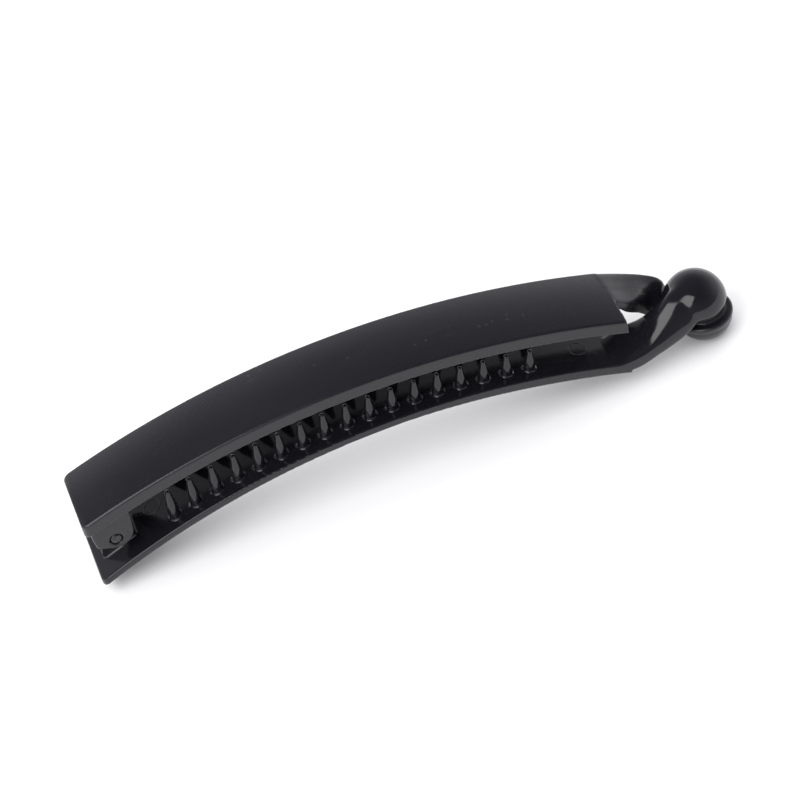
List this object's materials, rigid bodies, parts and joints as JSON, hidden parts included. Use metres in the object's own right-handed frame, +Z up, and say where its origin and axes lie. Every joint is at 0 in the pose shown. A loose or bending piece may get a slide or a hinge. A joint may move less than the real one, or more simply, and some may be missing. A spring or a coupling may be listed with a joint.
{
  "type": "banana hair clip",
  "caption": "Long arched hair clip: two hinged jaws with facing teeth, held shut at the far end by a domed finger that hooks over a twisted tongue with a round pad.",
  "frame": {"origin": "centre of the bounding box's bottom face, which is the plane the clip stands on", "axes": "+X along the clip from the hinge to the latch, +Y across it, +Z up through the top of the arch"},
  "size_m": [0.1312, 0.015, 0.0297],
  "materials": {
    "gloss_black": "injection moulded, glossy",
    "satin_black": "injection moulded, satin"
  },
  "bodies": {
    "inner_jaw": {"inner_jaw": "gloss_black"},
    "outer_jaw": {"outer_jaw": "satin_black", "latch_tongue": "gloss_black", "hinge_pin": "gloss_black"}
  },
  "joints": [
    {"name": "jaw_hinge", "type": "hinge", "parent": "inner_jaw", "child": "outer_jaw", "pos_m": [-0.06014, 0, 0.01293], "axis": [0, -1, 0], "range_deg": [0, 70], "deforming": ["latch_tongue"]}
  ]
}
